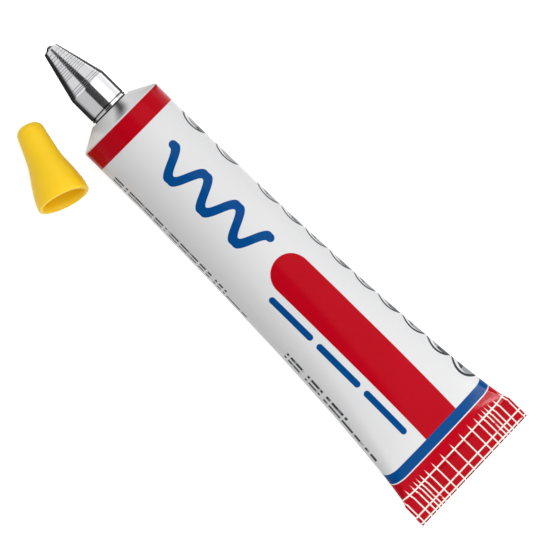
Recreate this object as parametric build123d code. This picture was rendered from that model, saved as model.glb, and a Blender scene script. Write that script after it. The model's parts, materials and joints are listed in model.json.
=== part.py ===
from build123d import *
from math import asin, atan2, cos, degrees, hypot, pi, radians, sin, sqrt
import os

# Ball-tip paint marker: a crimped metal paint tube, a turned nozzle and a push-on cap.
# Lengths are millimetres. The marker is drawn about its own axis, with X = 0 where the
# barrel meets the shoulder, the nozzle towards -X and the printed side up. It is then
# laid on its belly, with its cap beside the nozzle, and the origin goes to the middle
# of the underside of the whole.

# Tube: neck, shoulder, barrel and folded tail
BARREL_RADIUS = 14.0
BARREL_LENGTH = 140.2
WALL = 0.15
ROUND_LENGTH = 12.0
CORNER_ROUND = 0.5
SHOULDER_RISE = 3.75
SHOULDER_WALL = 0.8
LAND_RADIUS = 7.2
NECK_RADIUS = 4.5
NECK_BORE = 3.2
NECK_LENGTH = 6.0

# How the barrel flattens: its half height falls from round to flat as a power curve,
# and its width grows so that the girth stays that of the round barrel.
FLATTEN_POWER = 1.75
CLOSING_POWER = 2.16
SIDE_ROUND_SHARE = 0.35
ROUND_JOIN_ANGLE = 26.0
SECTION_SHARES = (0, 0.14, 0.28, 0.42, 0.56, 0.70, 0.82, 0.91, 0.965, 0.99, 1)
BISECTIONS = 60

# Tail: walls pressed flat over a strip of sealant, then folded under twice
TAIL_LENGTH = 7.4
HEM_LENGTH = 2.9
FOLD_GAP = 0.06
SEALANT_THICKNESS = 0.12
SEALANT_LENGTH = 1.5
SEALANT_MARGIN = 1.2

# Filling
PAINT_GAP = 0.1

# Nozzle: collar, cone and nose, with a socket for the neck behind and the ball in front
GASKET_THICKNESS = 0.4
GASKET_SETBACK = 0.35
COLLAR_RADIUS = 6.15
COLLAR_LENGTH = 8.6
GROOVE_SETBACK = 0.6
GROOVE_WIDTH = 0.3
GROOVE_DEPTH = 0.2
CONE_LENGTH = 14.65
NOSE_RADIUS = 2.4
NOSE_RISE = 0.45
THREAD_GAP = 0.05
SOCKET_END_GAP = 0.3

# Ball valve inside the nozzle
BALL_RADIUS = 1.25
BALL_STANDOUT = 0.6
BALL_GAP = 0.03
PUSHER_RADIUS = 1.12
PUSHER_WEB = 0.9
PUSHER_LIP = 0.55
STEM_RADIUS = 0.55
STEM_GAP = 0.1
SPRING_LENGTH = 6.9
SPRING_RADIUS = 0.9
SPRING_TURNS = 7
WIRE_RADIUS = 0.15
SPRING_SEAT_GAP = 0.02
PLUG_RADIUS = 2.0
PLUG_LENGTH = 2.0
PLUG_GAP = 0.01
FLOW_HOLES = 3
FLOW_HOLE_RADIUS = 0.3
FLOW_CIRCLE_RADIUS = 1.25

# Cap: its inside fits over the nozzle, and its outside is a wall away from that
CAP_TIP_WALL = 3.9
CAP_MOUTH_WALL = 1.55
CAP_TIP_RADIUS = 4.1
CAP_TIP_ROUND = 2.6
CAP_LIP_ROUND = 0.4
CAP_FLARE_SHARES = ((0.26, 0.577), (0.48, 0.665), (0.70, 0.852), (0.88, 0.978))
CAP_SEAT_GAP = 0.05
CAP_SEAT_LENGTH = 3.4
CAP_LEAD = 1.2
CAP_LEAD_FLARE = 0.4
CAP_POCKET_RADIUS = 1.7
CAP_POCKET_GAP = 0.2

# How the two lie on the floor: the marker's nose lifts by its lay angle, and its soft
# belly is pressed to a faint crown where it rests, so that it doesn't roll
LAY_ANGLE = 2.5
BELLY_PRESS = 0.45
BELLY_CROWN = 100.0
CAP_FORWARD = 17.6
CAP_ASIDE = 17.4
CAP_YAW = -22.2

# One overrun for every cut, and how closely the lowest point of a shape is found
OVERRUN = 1.0
LEVEL_TOLERANCE = 0.002

# Places along the marker's axis that several pieces share
WEB_THICKNESS = 2 * WALL + SEALANT_THICKNESS
FLAT_X = BARREL_LENGTH - TAIL_LENGTH
BASE_X = -(SHOULDER_RISE + GASKET_THICKNESS)
NECK_END_X = -(SHOULDER_RISE + NECK_LENGTH)
SOCKET_END_X = NECK_END_X - SOCKET_END_GAP
COLLAR_END_X = BASE_X - COLLAR_LENGTH
NOSE_X = COLLAR_END_X - CONE_LENGTH
LIP_X = NOSE_X - NOSE_RISE
BALL_X = LIP_X - BALL_STANDOUT + BALL_RADIUS
BALL_BORE = BALL_RADIUS + BALL_GAP
PUSHER_BACK_X = BALL_X + BALL_BORE + PUSHER_WEB
PLUG_X = PUSHER_BACK_X + SPRING_LENGTH
PLUG_BACK_X = PLUG_X + PLUG_LENGTH
GASKET_RADIUS = COLLAR_RADIUS - GASKET_SETBACK
CAP_SEAT_RADIUS = COLLAR_RADIUS + CAP_SEAT_GAP
CAP_MOUTH_RADIUS = CAP_SEAT_RADIUS + CAP_MOUTH_WALL
CAP_CONE_X = CAP_TIP_WALL + CAP_POCKET_GAP + BALL_STANDOUT + NOSE_RISE
CAP_SEAT_X = CAP_CONE_X + CONE_LENGTH
CAP_LEAD_X = CAP_SEAT_X + CAP_SEAT_LENGTH
CAP_LENGTH = CAP_LEAD_X + CAP_LEAD


def turned(points):
    """Solid of revolution about X through outline points given as (x, radius)."""
    return revolve(make_face(Polyline(points, close=True)), Axis.X)


def lowest(solid):
    """Height of a solid's lowest point, read from its facets, since boxes of lofts are loose."""
    return min(point.Z for point in solid.tessellate(LEVEL_TOLERANCE)[0])


def oval(half_height):
    """Half width, side radius, face radius and join angle of a section of the barrel.

    A section is four arcs, two faces and two sides, whose girth is the round barrel's.
    """
    height_share = half_height / BARREL_RADIUS
    if height_share >= 1:
        return BARREL_RADIUS, BARREL_RADIUS, BARREL_RADIUS, radians(ROUND_JOIN_ANGLE)
    side = half_height * (SIDE_ROUND_SHARE + (1 - SIDE_ROUND_SHARE) * height_share)
    narrow, wide = half_height, pi * BARREL_RADIUS
    for _ in range(BISECTIONS):
        half_width = (narrow + wide) / 2
        reach = half_width - side
        face = (reach ** 2 + half_height ** 2 - side ** 2) / (2 * (half_height - side))
        join = atan2(reach, face - half_height)
        if face * join + side * (pi / 2 - join) < pi / 2 * BARREL_RADIUS:
            narrow = half_width
        else:
            wide = half_width
    return half_width, side, face, join


def half_height_at(share):
    """Half height of the barrel at a share of the way from round to flat."""
    flat = WEB_THICKNESS / 2
    return flat + (BARREL_RADIUS - flat) * (1 - share ** FLATTEN_POWER) ** (1 / CLOSING_POWER)


def barrel_section(share, inset):
    """Closed outline across the barrel, drawn in from its outer face by inset."""
    x = ROUND_LENGTH + share * (FLAT_X - ROUND_LENGTH)
    half_height = half_height_at(share)
    half_width, side, _, join = oval(half_height)
    join_y = half_width - side + (side - inset) * sin(join)
    join_z = (side - inset) * cos(join)
    top = half_height - inset
    edge = half_width - inset
    return Wire([
        ThreePointArc((x, -join_y, join_z), (x, 0, top), (x, join_y, join_z)),
        ThreePointArc((x, join_y, join_z), (x, edge, 0), (x, join_y, -join_z)),
        ThreePointArc((x, join_y, -join_z), (x, 0, -top), (x, -join_y, -join_z)),
        ThreePointArc((x, -join_y, -join_z), (x, -edge, 0), (x, -join_y, join_z)),
    ])


def barrel_loft(inset):
    """Flattening stretch of the barrel, drawn in by inset and pressed where it rests.

    Both faces of the wall run through the same sections. Only the outer one closes to the flat tail.
    """
    *open_shares, flat_share = SECTION_SHARES
    sections = [barrel_section(share, inset) for share in open_shares]
    barrel = Part() + Solid.make_loft(sections)
    if inset == 0:
        barrel += Solid.make_loft([sections[-1], barrel_section(flat_share, inset)], ruled=True)
    lying = Rot(0, LAY_ANGLE, 0) * barrel
    room = lying.bounding_box()
    crown = BELLY_CROWN - inset
    bed = Rot(0, 90, 0) * Cylinder(crown, room.size.X + 2 * OVERRUN)
    pressed = lying & Pos(room.center().X, 0, lowest(lying) + BELLY_PRESS + crown) * bed
    return Rot(0, -LAY_ANGLE, 0) * pressed


def hem():
    """Flat web and the hem folded under it twice, as one bent strip across the tail."""
    pitch = WEB_THICKNESS + FOLD_GAP
    end = BARREL_LENGTH - pitch - WEB_THICKNESS / 2
    back = BARREL_LENGTH - HEM_LENGTH + pitch / 2 + WEB_THICKNESS / 2
    outer_bend_x = end + pitch
    inner_bend_x = back - pitch / 2
    path = Wire([
        Line((FLAT_X - WEB_THICKNESS, 0), (end, 0)),
        ThreePointArc((end, 0), (outer_bend_x, -pitch), (end, -2 * pitch)),
        Line((end, -2 * pitch), (back, -2 * pitch)),
        ThreePointArc((back, -2 * pitch), (inner_bend_x, -1.5 * pitch), (back, -pitch)),
        Line((back, -pitch), (end, -pitch)),
    ])
    strip = Plane.XZ * trace(path, WEB_THICKNESS)
    half_width = oval(WEB_THICKNESS / 2)[0]
    return extrude(strip, half_width, both=True)


def sealant_strip():
    """Sealant between the two walls, in the flat web in front of the hem."""
    half_width = oval(WEB_THICKNESS / 2)[0]
    strip = Box(SEALANT_LENGTH, 2 * (half_width - SEALANT_MARGIN), SEALANT_THICKNESS)
    return Pos(FLAT_X + SEALANT_LENGTH / 2, 0, 0) * strip


def tube():
    """Neck, shoulder, barrel wall and folded tail in one piece of metal."""
    outside = turned([
        (NECK_END_X, 0),
        (NECK_END_X, NECK_RADIUS),
        (-SHOULDER_RISE, NECK_RADIUS),
        (-SHOULDER_RISE, LAND_RADIUS),
        (0, BARREL_RADIUS),
        (ROUND_LENGTH, BARREL_RADIUS),
        (ROUND_LENGTH, 0),
    ])
    corner = outside.edges().filter_by(GeomType.CIRCLE).filter_by(
        lambda edge: abs(edge.radius - BARREL_RADIUS) < WALL and edge.center().X < WALL
    )
    outside = fillet(corner, CORNER_ROUND) + barrel_loft(0) + hem()
    shoulder_foot_x = SHOULDER_WALL - SHOULDER_RISE
    inside = turned([
        (NECK_END_X - OVERRUN, 0),
        (NECK_END_X - OVERRUN, NECK_BORE),
        (shoulder_foot_x, NECK_BORE),
        (shoulder_foot_x, LAND_RADIUS),
        (SHOULDER_WALL, BARREL_RADIUS - WALL),
        (ROUND_LENGTH, BARREL_RADIUS - WALL),
        (ROUND_LENGTH, 0),
    ])
    return outside - (inside + barrel_loft(WALL)) - sealant_strip()


def paint_charge():
    """Paint that fills the tube from the shoulder to the closing walls."""
    gap = WALL + PAINT_GAP
    front_x = SHOULDER_WALL - SHOULDER_RISE + PAINT_GAP
    front = turned([
        (front_x, 0),
        (front_x, LAND_RADIUS - PAINT_GAP),
        (SHOULDER_WALL + PAINT_GAP, BARREL_RADIUS - gap),
        (ROUND_LENGTH, BARREL_RADIUS - gap),
        (ROUND_LENGTH, 0),
    ])
    return front + barrel_loft(gap)


def neck_gasket():
    """Washer squeezed between the shoulder's land and the nozzle."""
    return turned([
        (BASE_X, NECK_RADIUS + THREAD_GAP),
        (BASE_X, GASKET_RADIUS),
        (-SHOULDER_RISE, GASKET_RADIUS),
        (-SHOULDER_RISE, NECK_RADIUS + THREAD_GAP),
    ])


def nozzle():
    """Turned nozzle: grooved collar, cone, nose, neck socket, plug bore and ball seat."""
    groove_end_x = BASE_X - GROOVE_SETBACK
    groove_start_x = groove_end_x - GROOVE_WIDTH
    groove_radius = COLLAR_RADIUS - GROOVE_DEPTH
    socket_radius = NECK_RADIUS + THREAD_GAP
    lip_radius = sqrt(BALL_BORE ** 2 - (BALL_X - LIP_X) ** 2)
    body = turned([
        (BASE_X, socket_radius),
        (BASE_X, COLLAR_RADIUS),
        (groove_end_x, COLLAR_RADIUS),
        (groove_end_x, groove_radius),
        (groove_start_x, groove_radius),
        (groove_start_x, COLLAR_RADIUS),
        (COLLAR_END_X, COLLAR_RADIUS),
        (NOSE_X, NOSE_RADIUS),
        (LIP_X, lip_radius),
        (BALL_X, 0),
        (PLUG_X, 0),
        (PLUG_X, PLUG_RADIUS),
        (SOCKET_END_X, PLUG_RADIUS),
        (SOCKET_END_X, socket_radius),
    ])
    seat = Pos(BALL_X, 0, 0) * Sphere(BALL_BORE)
    bore = turned([(BALL_X, 0), (BALL_X, BALL_BORE), (PLUG_X + OVERRUN, BALL_BORE), (PLUG_X + OVERRUN, 0)])
    return body - seat - bore


def writing_ball():
    """Ball that rolls on the work and lays the paint."""
    return Pos(BALL_X, 0, 0) * Sphere(BALL_RADIUS)


def ball_pusher():
    """Cupped head behind the ball, with the stem that guides the spring."""
    cup_x = BALL_X + BALL_BORE
    front_x = cup_x - PUSHER_LIP
    cup_radius = sqrt(BALL_BORE ** 2 - (front_x - BALL_X) ** 2)
    half_turn = atan2(cup_radius, front_x - BALL_X) / 2
    cup_middle = (BALL_X + BALL_BORE * cos(half_turn), BALL_BORE * sin(half_turn))
    outline = [
        ThreePointArc((cup_x, 0), cup_middle, (front_x, cup_radius)),
        Polyline(
            (front_x, cup_radius),
            (front_x, PUSHER_RADIUS),
            (PUSHER_BACK_X, PUSHER_RADIUS),
            (PUSHER_BACK_X, STEM_RADIUS),
            (PLUG_BACK_X, STEM_RADIUS),
            (PLUG_BACK_X, 0),
            (cup_x, 0),
        ),
    ]
    return revolve(make_face(outline), Axis.X)


def coil_place(turn):
    """Centre of the wire and its direction after a number of turns."""
    start_x = PUSHER_BACK_X + WIRE_RADIUS + SPRING_SEAT_GAP
    pitch = (SPRING_LENGTH - 2 * (WIRE_RADIUS + SPRING_SEAT_GAP)) / SPRING_TURNS
    angle = 2 * pi * turn
    place = Vector(start_x + pitch * turn, SPRING_RADIUS * cos(angle), SPRING_RADIUS * sin(angle))
    heading = Vector(pitch / (2 * pi), -SPRING_RADIUS * sin(angle), SPRING_RADIUS * cos(angle))
    return place, heading.normalized()


def biarc(start, start_heading, end, end_heading):
    """Two tangent arcs that leave start and reach end along the given headings."""
    chord = end - start
    headings = start_heading + end_heading
    bend = 2 * (1 - start_heading.dot(end_heading))
    along = chord.dot(headings)
    reach = (sqrt(along ** 2 + bend * chord.dot(chord)) - along) / bend
    middle = (start + end + (start_heading - end_heading) * reach) / 2
    heading = (end - end_heading * reach) - (start + start_heading * reach)
    return [
        TangentArc(start, middle, tangent=start_heading),
        TangentArc(middle, end, tangent=heading),
    ]


def ball_spring():
    """Coil spring between the pusher's head and the plug, one wire swept by quarter turns."""
    quarters = [coil_place(step / 4) for step in range(4 * SPRING_TURNS + 1)]
    arcs = []
    for (start, start_heading), (end, end_heading) in zip(quarters, quarters[1:]):
        arcs += biarc(start, start_heading, end, end_heading)
    gap = min(
        (quarters[late][0] - quarters[early][0]).length
        for early in range(len(quarters))
        for late in range(early + 2, len(quarters))
    )
    print(f"spring: least gap between its turns {gap - 2 * WIRE_RADIUS:.2f} mm")
    start, heading = quarters[0]
    wire = Plane(origin=start, z_dir=heading) * Circle(WIRE_RADIUS)
    return sweep(wire, Wire(arcs))


def spring_plug():
    """Plug that backs the spring, with a hole for the stem and holes for the paint."""
    plug = turned([
        (PLUG_X, STEM_RADIUS + STEM_GAP),
        (PLUG_X, PLUG_RADIUS - PLUG_GAP),
        (PLUG_BACK_X, PLUG_RADIUS - PLUG_GAP),
        (PLUG_BACK_X, STEM_RADIUS + STEM_GAP),
    ])
    middle = Plane(origin=((PLUG_X + PLUG_BACK_X) / 2, 0, 0), z_dir=(1, 0, 0))
    hole = Cylinder(FLOW_HOLE_RADIUS, PLUG_LENGTH + 2 * OVERRUN)
    return plug - middle * PolarLocations(FLOW_CIRCLE_RADIUS, FLOW_HOLES) * hole


def cap():
    """Push-on cap with its closed tip at X = 0 and its mouth towards +X."""
    flare = [(CAP_LENGTH * along, CAP_MOUTH_RADIUS * out) for along, out in CAP_FLARE_SHARES]
    tip_end = (CAP_TIP_ROUND, CAP_TIP_RADIUS)
    tip_start = (0, CAP_TIP_RADIUS - CAP_TIP_ROUND)
    lip_start = (CAP_LENGTH - CAP_LIP_ROUND, CAP_MOUTH_RADIUS)
    lip_end = (CAP_LENGTH, CAP_MOUTH_RADIUS - CAP_LIP_ROUND)
    outline = [
        Line((0, 0), tip_start),
        TangentArc(tip_start, tip_end, tangent=(0, 1)),
        Spline(tip_end, *flare, lip_start),
        TangentArc(lip_start, lip_end, tangent=(1, 0)),
        Polyline(
            lip_end,
            (CAP_LENGTH, CAP_SEAT_RADIUS + CAP_LEAD_FLARE),
            (CAP_LEAD_X, CAP_SEAT_RADIUS),
            (CAP_SEAT_X, CAP_SEAT_RADIUS),
            (CAP_CONE_X, NOSE_RADIUS + CAP_SEAT_GAP),
            (CAP_TIP_WALL, CAP_POCKET_RADIUS),
            (CAP_TIP_WALL, 0),
            (0, 0),
        ),
    ]
    return revolve(make_face(outline), Axis.X)


def cap_lay_angle():
    """Angle by which the cap's mouth lifts when its tip and its lip both touch the floor."""
    along = CAP_LENGTH - CAP_LIP_ROUND - CAP_TIP_ROUND
    out = (CAP_MOUTH_RADIUS - CAP_LIP_ROUND) - (CAP_TIP_RADIUS - CAP_TIP_ROUND)
    return degrees(atan2(out, along) + asin((CAP_LIP_ROUND - CAP_TIP_ROUND) / hypot(along, out)))


def laid(solids, place):
    """Solids moved to a place and then dropped until the lowest of them meets the floor."""
    floor = min(lowest(place * solid) for solid in solids.values())
    return Pos(0, 0, -floor) * place


MARKER = {
    "tube": tube(),
    "tail_sealant": sealant_strip(),
    "paint_charge": paint_charge(),
    "neck_gasket": neck_gasket(),
    "nozzle": nozzle(),
    "spring_plug": spring_plug(),
    "ball_spring": ball_spring(),
    "ball_pusher": ball_pusher(),
    "writing_ball": writing_ball(),
}
CAP = {"cap": cap()}

MARKER_LAID = laid(MARKER, Rot(0, LAY_ANGLE, 0))
CAP_LAID = laid(CAP, Pos(-CAP_FORWARD, -CAP_ASIDE, 0) * Rot(0, 0, CAP_YAW) * Rot(0, -cap_lay_angle(), 0))
RESTING = {name: MARKER_LAID * solid for name, solid in MARKER.items()}
RESTING |= {name: CAP_LAID * solid for name, solid in CAP.items()}

BOXES = [solid.bounding_box() for solid in RESTING.values()]
MIDDLE_X = (min(box.min.X for box in BOXES) + max(box.max.X for box in BOXES)) / 2
MIDDLE_Y = (min(box.min.Y for box in BOXES) + max(box.max.Y for box in BOXES)) / 2
TO_ORIGIN = Pos(-MIDDLE_X, -MIDDLE_Y, 0)

os.makedirs("parts", exist_ok=True)
for name, solid in RESTING.items():
    piece = TO_ORIGIN * solid
    piece.label = name
    export_step(piece, f"parts/{name}.step")
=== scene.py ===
import json
import math

import bmesh
import bpy
from mathutils import Matrix, Vector, noise


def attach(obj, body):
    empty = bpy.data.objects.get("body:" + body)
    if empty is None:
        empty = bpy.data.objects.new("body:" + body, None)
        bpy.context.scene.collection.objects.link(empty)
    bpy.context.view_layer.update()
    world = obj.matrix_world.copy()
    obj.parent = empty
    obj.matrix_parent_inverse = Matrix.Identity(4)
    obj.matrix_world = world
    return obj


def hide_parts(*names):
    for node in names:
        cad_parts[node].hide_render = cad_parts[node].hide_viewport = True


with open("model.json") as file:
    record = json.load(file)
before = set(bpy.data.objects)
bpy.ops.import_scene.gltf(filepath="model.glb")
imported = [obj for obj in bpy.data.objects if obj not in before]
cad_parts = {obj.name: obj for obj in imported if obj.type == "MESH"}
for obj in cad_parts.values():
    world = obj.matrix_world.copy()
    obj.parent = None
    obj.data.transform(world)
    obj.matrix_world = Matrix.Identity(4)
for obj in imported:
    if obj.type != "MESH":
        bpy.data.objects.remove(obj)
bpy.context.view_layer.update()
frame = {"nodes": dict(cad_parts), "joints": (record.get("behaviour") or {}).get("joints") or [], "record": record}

# The looks of a ball-tip paint marker that lies on its belly with its cap beside it.
# Sizes are millimetres in the marker's own frame: X = 0 where the barrel meets the
# shoulder, the nozzle towards -X, the printed side towards +Z.

MM = 0.001

# Tube
BARREL_RADIUS = 14.0
BARREL_LENGTH = 140.2
GIRTH = 2 * math.pi * BARREL_RADIUS
ROUND_LENGTH = 12.0
CORNER_ROUND = 0.5
SHOULDER_RISE = 3.75
LAND_RADIUS = 7.2
NECK_RADIUS = 4.5
NECK_LENGTH = 6.0
FLATTEN_POWER = 1.75
CLOSING_POWER = 2.16
SIDE_ROUND_SHARE = 0.35
WEB_THICKNESS = 0.42
FOLD_GAP = 0.06
TAIL_LENGTH = 7.4
HEM_LENGTH = 2.9
FLAT_X = BARREL_LENGTH - TAIL_LENGTH
HEM_X = BARREL_LENGTH - HEM_LENGTH
NECK_END_X = -(SHOULDER_RISE + NECK_LENGTH)
CHART_START = NECK_END_X
CHART_LENGTH = BARREL_LENGTH - CHART_START
BELLY_CROWN = 100.0
DENT_DEPTH = 0.1
DENT_SIZE = 17.0
DENT_FADE = 14.0
DENT_SEED = Vector((3.1, 7.7, 1.9))

# Nozzle
GASKET_THICKNESS = 0.4
COLLAR_RADIUS = 6.15
COLLAR_LENGTH = 8.6
GROOVE_SETBACK = 0.6
GROOVE_WIDTH = 0.3
GROOVE_DEPTH = 0.2
CONE_LENGTH = 14.65
NOSE_RADIUS = 2.4
NOSE_RISE = 0.45
SOCKET_RADIUS = 4.55
SOCKET_DEPTH = 5.9
BORE_RADIUS = 1.28
PLUG_RADIUS = 2.0
PLUG_SETBACK = 9.08
EDGE_ROUND = 0.12
CONE_EDGE_ROUND = 0.18
GROOVE_ROUND = 0.04
BALL_RADIUS = 1.25
BALL_STANDOUT = 0.6
BASE_X = -(SHOULDER_RISE + GASKET_THICKNESS)
COLLAR_END_X = BASE_X - COLLAR_LENGTH
NOSE_X = COLLAR_END_X - CONE_LENGTH
LIP_X = NOSE_X - NOSE_RISE
BALL_X = LIP_X - BALL_STANDOUT + BALL_RADIUS
PLUG_X = BALL_X + PLUG_SETBACK
GROOVE_X = BASE_X - GROOVE_SETBACK - GROOVE_WIDTH / 2
# Length of the darker band at the nose lip
NOSE_DARK_LENGTH = 0.25

# Fine rings that the turning tool left on the cone, in darker metal that paints the shade in their grooves: place
# from the nose, pitch, count
TIP_RINGS = {"place": 1.2, "pitch": 0.9, "count": 3}
NOSE_RINGS = {"place": 4.2, "pitch": 0.74, "count": 8}
REAR_RINGS = {"place": 12.5, "pitch": 0.66, "count": 3}
RING_SHIFT = 0.3
RING_SEED = 5
RING_WIRE = 0.13
RING_SINK = 0.09
RING_SIDES = 8

# Cap, with its closed tip at X = 0 and its mouth towards +X
CAP_LENGTH = 24.4
CAP_MOUTH_RADIUS = 7.75
CAP_TIP_RADIUS = 4.1
CAP_TIP_ROUND = 2.6
CAP_LIP_ROUND = 0.4
CAP_FLARE_SHARES = ((0.26, 0.577), (0.48, 0.665), (0.70, 0.852), (0.88, 0.978))
CAP_SEAT_RADIUS = 6.2
CAP_LEAD_RADIUS = 6.6
CAP_LEAD_X = 23.2
CAP_SEAT_X = 19.8
CAP_CONE_X = 5.15
CAP_CONE_RADIUS = 2.45
CAP_TIP_WALL = 3.9
CAP_POCKET_RADIUS = 1.7
CAP_SEAT_MIDDLE = (CAP_SEAT_X + CAP_LEAD_X) / 2
CAP_INNER_ROUND = 0.5

# Fineness of the meshes
GIRTH_STEPS = 256
HEM_STEPS = 128
BARREL_STEPS = 160
CLOSING_STEPS = 24
CLOSING_SPAN = 4.0
WEB_STEPS = 8
TURN_STEPS = 160
ARC_STEPS = 6
FLARE_STEPS = 40
BISECTIONS = 48
ROUND_SHARE = 0.99999
ON_AXIS = 1e-6
WELD_DISTANCE = 1e-7
SHARP_ANGLE = 32.0

# Print on the tube. U runs round the girth from the middle of the printed side,
# positive towards +Y, and X along the barrel.
PRINT_EDGE = 0.05
ENAMEL_X = -0.12
BAND_START = 0.31
BAND_END = 6.4
BAR_START = 58.2
BAR_HALF_WIDTH = 6.25
BAR_U = -0.5
BAR_SKEW = 0.024
WAVE_START = 15.5
WAVE_TURNS = 3.0
WAVE_LENGTH = 12.4
WAVE_SWING = 3.9
WAVE_HALF_WIDTH = 1.35
WAVE_U = -1.2
RULE_START = 63.5
RULE_END = 119.5
RULE_U = -9.7
RULE_HALF_WIDTH = 0.95
RULE_PITCH = 18.6
RULE_BREAK = 1.0
HAIRLINES = ((10.5, 55.0, -19.5), (10.5, 64.0, -21.4), (78.5, 104.0, -18.2), (78.5, 118.0, -20.1))
HAIR_HALF_WIDTH = 0.5
DASH_LENGTH = 0.775
DASH_RAMP = (0.1, 0.3)
ROW_START = 44.1
ROW_PITCH = 9.14
ROW_LAST = 117.2
ROW_EXTRAS = (15.3, 28.15)
ROW_RADIUS = 4.1
ROW_LINE = 0.42
ROW_U = 15.5
ROW_SKEW = 0.042
DISC_RADIUS = 3.2
DISC_ASIDE = 0.9
BLUE_START = 123.7
BLUE_END = 126.87
TAIL_START = 127.2
BOW_U = 16.0
BOW_SHARE = 0.045
CROSS_BOW_SHARE = 0.35
CROSS_PLACES = (131.5, 137.26, 139.5)
CROSS_LINE = 0.22
SCORES = 9
SCORE_PITCH = 2.6
SCORE_SWING = 2.55
SCORE_CYCLE = 11
SCORE_LINE = 0.2
SCORE_START = 128.5
SCORE_TAPER = 3.0
SCORE_LEAN = 0.268
PATCH_SCALE = 500.0
PATCH_RAMP = (0.25, 0.38)
# Painted shade of the hem's rounded end: the red darkens from here to the tail
FOLD_X = 139.85
FOLD_FADE = 0.2
# Painted shade and dark reflection of the nozzle on the bare shoulder: place round the girth, lean, half width,
# reach along the barrel and share
NOZZLE_SHADE_U = -2.8
NOZZLE_SHADE_LEAN = 1.0
NOZZLE_SHADE_HALF_WIDTH = 4.3
NOZZLE_SHADE_X = (-2.2, 2.0)
NOZZLE_SHADE_SHARE = 0.95

# Colours as they are written on the piece, in sRGB from 0 to 255
ENAMEL_WHITE = (212, 212, 213)
PRINT_RED = (175, 2, 25)
PRINT_BLUE = (0, 70, 132)
PRINT_GREY = (140, 142, 146)
PRINT_DARK = (58, 60, 64)
SCORE_WHITE = (236, 224, 216)
BARE_METAL = (226, 226, 226)
# Colour of the painted shade and reflection of the nozzle on the shoulder
NOZZLE_SHADE_DARK = (52, 52, 54)
# Colour of the painted shade at the folded hem
FOLD_SHADE_RED = (112, 4, 14)
POLISHED_METAL = (241, 241, 243)
CONE_METAL = (216, 216, 218)
# Darker metal for the nose lip and for the painted shade in the collar's groove
GROOVE_SHADE_NOSE_DARK_METAL = (96, 96, 98)
CAP_YELLOW = (255, 211, 32)
CAP_YELLOW_DEEP = (255, 202, 14)
FLOOR_WHITE = (216, 216, 216)

# How far the clouds in a colour darken it, in the same levels
ENAMEL_CLOUD = 3
RED_CLOUD = 6
BLUE_CLOUD = 5
POLISH_CLOUD = 10
FLOOR_CLOUD = 2

# Surfaces: noise scales per metre, roughness and what smudges add to it, bumps as (strength, metres)
NOISE_DETAIL = 3.0
NOISE_ROUGHNESS = 0.55
ENAMEL_CLOUD_SCALE = 90.0
ENAMEL_SMUDGE_SCALE = 260.0
ENAMEL_ROUGHNESS = 0.1
ENAMEL_SMUDGE = 0.04
ENAMEL_SPECULAR = 0.045
ENAMEL_BUMP = (0.06, 0.0002)
PEEL_SCALE = 1400.0
PEEL_DETAIL = 1.0
SCORE_RELIEF = -0.6
BARE_METALLIC = 0.15
BARE_ROUGHNESS = 0.25
LATHE_STRETCH = (4000.0, 12.0, 12.0)
LATHE_DETAIL = 2.0
LATHE_BUMP = (0.04, 0.00005)
POLISH_SMUDGE_SCALE = 500.0
POLISH_ROUGHNESS = 0.09
POLISH_SMUDGE = 0.07
CAP_CLOUD_SCALE = 160.0
CAP_GRAIN_SCALE = 2600.0
CAP_GRAIN_DETAIL = 2.0
CAP_ROUGHNESS = 0.36
CAP_GRAIN = 0.16
CAP_SPECULAR = 0.3
CAP_BUMP = (0.05, 0.0001)
CAP_GLOW_WEIGHT = 0.2
CAP_GLOW_RADIUS = (1.0, 0.6, 0.12)
CAP_GLOW_SCALE = 0.004
FLOOR_CLOUD_SCALE = 3.0
GRAIN_BUMP = (0.05, MM)

# Plain grained materials: two colours, noise scale, roughness, its spread and metallic
GRAINED = {
    # Darker metal for the cone's rings, as painted shade of the turned grooves
    "turned_ring_shade": ((98, 98, 100), (138, 138, 141), 900.0, 0.32, 0.12, 1.0),
    "ball_steel": ((52, 52, 55), (70, 70, 74), 900.0, 0.16, 0.08, 1.0),
    "gasket_rubber": ((18, 18, 19), (26, 26, 27), 1200.0, 0.6, 0.2, 0.0),
    "paint_wet": ((236, 186, 22), (246, 200, 30), 200.0, 0.25, 0.1, 0.0),
    "sealant_soft": ((200, 190, 164), (214, 205, 180), 600.0, 0.6, 0.2, 0.0),
    "plug_metal": ((150, 150, 152), (176, 176, 178), 800.0, 0.3, 0.12, 1.0),
    "spring_wire": ((128, 128, 131), (150, 150, 153), 1500.0, 0.25, 0.1, 1.0),
    "pusher_plastic": ((210, 208, 198), (222, 220, 212), 700.0, 0.45, 0.15, 0.0),
}

# CAD nodes that stay as they are, and the material each gets
DRESSED = {
    "writing_ball": "ball_steel",
    "neck_gasket": "gasket_rubber",
    "paint_charge": "paint_wet",
    "tail_sealant": "sealant_soft",
    "spring_plug": "plug_metal",
    "ball_spring": "spring_wire",
    "ball_pusher": "pusher_plastic",
}

# Camera: two places of the photograph, in its pixels, and the view it was taken from
IMAGE_SIDE = 540
NOSE_PIXEL = (48.35, 47.45)
TAIL_PIXEL = (476.1, 470.9)
VIEW_ELEVATION = 75.0
VIEW_DISTANCE = 1.5
SENSOR = 36.0

# Light, in metres
WORLD_LEVEL = 0.55
KEY_ANGLE = 10.0
KEY_DISTANCE = 0.62
KEY_LENGTH = 0.95
KEY_WIDTH = 1.15
KEY_LEVEL = 1.3
KEY_X = 0.2
REAR_BOX_PLACE = (0.485, 0.23, 0.155)
REAR_BOX_SIDE = 0.08
REAR_BOX_LEVEL = 32.0
GLOSS_BOX_PLACE = (0.35, 0.375, 0.365)
GLOSS_BOX_LENGTH = 0.2
GLOSS_BOX_WIDTH = 0.025
GLOSS_BOX_LEVEL = 100.0
TAIL_AIM = (0.07, 0.0, 0.005)
FLOOR_SIDE = 6.0
FLOOR_DROP = 0.0002
FLOOR_GLOW = 0.7

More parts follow.
